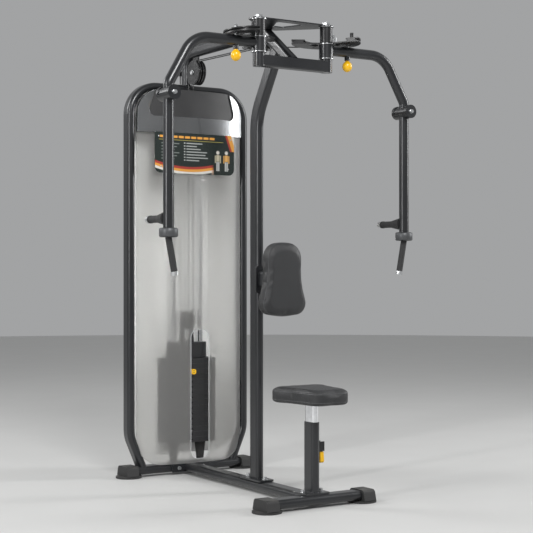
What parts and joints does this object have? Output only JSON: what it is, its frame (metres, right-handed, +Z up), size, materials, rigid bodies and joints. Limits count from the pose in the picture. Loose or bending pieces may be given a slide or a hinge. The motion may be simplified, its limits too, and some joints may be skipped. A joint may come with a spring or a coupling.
{
  "type": "pec deck machine",
  "caption": "Seated chest fly and rear delt machine with a selectorised weight stack tower, overhead boom, two swinging arms with hanging handles, seat and back pad.",
  "frame": {"origin": "on the floor, at the centre of the footprint", "axes": "+Z up; the user sits facing -Y and the weight tower stands at +Y; +X is to the right seen from the front"},
  "size_m": [1.2778, 1.308, 2.0679],
  "materials": {
    "frame": "satin metallic charcoal powder coat",
    "rubber": "matte",
    "zinc": "zinc plated",
    "chrome": "polished",
    "panel": "frosted, satin",
    "panel_back": "satin",
    "header": "glossy silver grey",
    "dark_plastic": "fine texture",
    "placard": "printed, glossy",
    "stack": "black powder coat",
    "dark_steel": "satin black",
    "cable": "nylon coated steel wire",
    "pulley": "moulded nylon",
    "yellow": "moulded",
    "vinyl": "grained upholstery vinyl",
    "aluminium": "turned"
  },
  "bodies": {
    "root": {"rear_foot_beam": "frame", "front_foot_beam": "frame", "rubber_boots": "rubber", "base_spine": "frame", "frame_bolts": "zinc", "tower_hoop": "frame", "column": "frame", "boom": "frame", "crossbeam": "frame", "pivot_shafts": "zinc", "pivot_washers": "zinc", "top_tie_plate": "frame", "front_shroud": "panel", "rear_shroud": "panel_back", "header_cap": "header", "header_inset": "dark_plastic", "instruction_placard": "placard", "guide_rods": "chrome", "rod_bumpers": "rubber", "resting_plates": "stack", "pulley_brackets": "dark_steel", "lift_cables": "cable", "left_cable": "cable", "right_cable": "cable", "back_pad": "vinyl", "back_pad_bracket": "frame", "seat_post_outer": "frame", "seat_post_bushing": "dark_plastic", "lever_bracket": "dark_steel"},
    "carriage": {"head_plate": "stack", "selector_stem": "chrome", "lifted_plates": "stack", "pulley_fork": "dark_steel", "cable_loops": "cable"},
    "selector": {"selector_pin": "yellow"},
    "floating_pulley": {"floating_pulley": "pulley"},
    "top_pulley": {"top_pulleys": "pulley"},
    "seat": {"seat_post_inner": "chrome", "seat_plate": "dark_steel", "seat_pad": "vinyl"},
    "seat_lever": {"seat_lever": "zinc", "lever_grip": "yellow"},
    "left_guide_pulley": {"left_guide_pulley": "pulley"},
    "left_cam": {"left_cam": "dark_steel"},
    "left_arm": {"left_arm": "frame"},
    "left_pin": {"left_pull_pin": "zinc", "left_pin_knob": "yellow"},
    "left_handle": {"left_handle_tube": "frame", "left_hinge_bolt": "zinc", "left_hand_grips": "rubber", "left_grip_caps": "aluminium"},
    "right_guide_pulley": {"right_guide_pulley": "pulley"},
    "right_cam": {"right_cam": "dark_steel"},
    "right_arm": {"right_arm": "frame"},
    "right_pin": {"right_pull_pin": "zinc", "right_pin_knob": "yellow"},
    "right_handle": {"right_handle_tube": "frame", "right_hinge_bolt": "zinc", "right_hand_grips": "rubber", "right_grip_caps": "aluminium"}
  },
  "joints": [
    {"name": "left_cam_swing", "type": "hinge", "parent": "root", "child": "left_cam", "pos_m": [-0.172, -0.344, 0], "axis": [0, 0, 1], "range_deg": [0, 85]},
    {"name": "right_cam_swing", "type": "hinge", "parent": "root", "child": "right_cam", "pos_m": [0.172, -0.344, 0], "axis": [0, 0, 1], "range_deg": [-85, 0]},
    {"name": "stack_lift", "type": "slide", "parent": "root", "child": "carriage", "axis": [0, 0, 1], "range_m": [0, 0.106], "deforming": ["lift_cables"]},
    {"name": "top_pulley_spin", "type": "hinge", "parent": "root", "child": "top_pulley", "pos_m": [0, 0.494, 1.933], "axis": [1, 0, 0], "range_deg": [-5, 225]},
    {"name": "left_guide_spin", "type": "hinge", "parent": "root", "child": "left_guide_pulley", "pos_m": [-0.0425, -0.06, 1.975], "axis": [0, 0, 1], "range_deg": [-405, 5]},
    {"name": "right_guide_spin", "type": "hinge", "parent": "root", "child": "right_guide_pulley", "pos_m": [0.0425, -0.06, 1.975], "axis": [0, 0, 1], "range_deg": [-5, 405]},
    {"name": "floating_pulley_spin", "type": "hinge", "parent": "carriage", "child": "floating_pulley", "pos_m": [0, 0.591, 0.741], "axis": [1, 0, 0], "range_deg": [-150, 5]},
    {"name": "selector_pull", "type": "slide", "parent": "carriage", "child": "selector", "axis": [0, -1, 0], "range_m": [0, 0.09]},
    {"name": "left_arm_adjust", "type": "hinge", "parent": "left_cam", "child": "left_arm", "pos_m": [-0.172, -0.344, 0], "axis": [0, 0, 1], "range_deg": [-84, 12]},
    {"name": "right_arm_adjust", "type": "hinge", "parent": "right_cam", "child": "right_arm", "pos_m": [0.172, -0.344, 0], "axis": [0, 0, 1], "range_deg": [-12, 84]},
    {"name": "left_pin_pull", "type": "slide", "parent": "left_arm", "child": "left_pin", "axis": [0, 0, -1], "range_m": [0, 0.024], "stiffness_N_per_m": 600, "springref_m": -0.02},
    {"name": "right_pin_pull", "type": "slide", "parent": "right_arm", "child": "right_pin", "axis": [0, 0, -1], "range_m": [0, 0.024], "stiffness_N_per_m": 600, "springref_m": -0.02},
    {"name": "left_handle_swing", "type": "hinge", "parent": "left_arm", "child": "left_handle", "pos_m": [-0.601, -0.344, 1.696], "axis": [0, 1, 0], "range_deg": [-20, 20]},
    {"name": "right_handle_swing", "type": "hinge", "parent": "right_arm", "child": "right_handle", "pos_m": [0.601, -0.344, 1.696], "axis": [0, 1, 0], "range_deg": [-20, 20]},
    {"name": "seat_height", "type": "slide", "parent": "root", "child": "seat", "axis": [0, 0, 1], "range_m": [-0.05, 0.15]},
    {"name": "seat_lever_lift", "type": "hinge", "parent": "root", "child": "seat_lever", "pos_m": [0.044, -0.485, 0.254], "axis": [0, -1, 0], "range_deg": [0, 25], "stiffness_Nm_per_rad": 0.6, "springref_deg": -28.65}
  ],
  "couplings": [
    {"joint": "right_cam_swing", "follows": "left_cam_swing", "ratio": -1},
    {"joint": "stack_lift", "follows": "left_cam_swing", "m_per_rad": 0.07},
    {"joint": "top_pulley_spin", "follows": "left_cam_swing", "ratio": 2.5455},
    {"joint": "left_guide_spin", "follows": "left_cam_swing", "ratio": -4.6667},
    {"joint": "right_guide_spin", "follows": "left_cam_swing", "ratio": 4.6667},
    {"joint": "floating_pulley_spin", "follows": "left_cam_swing", "ratio": -1.6667}
  ]
}
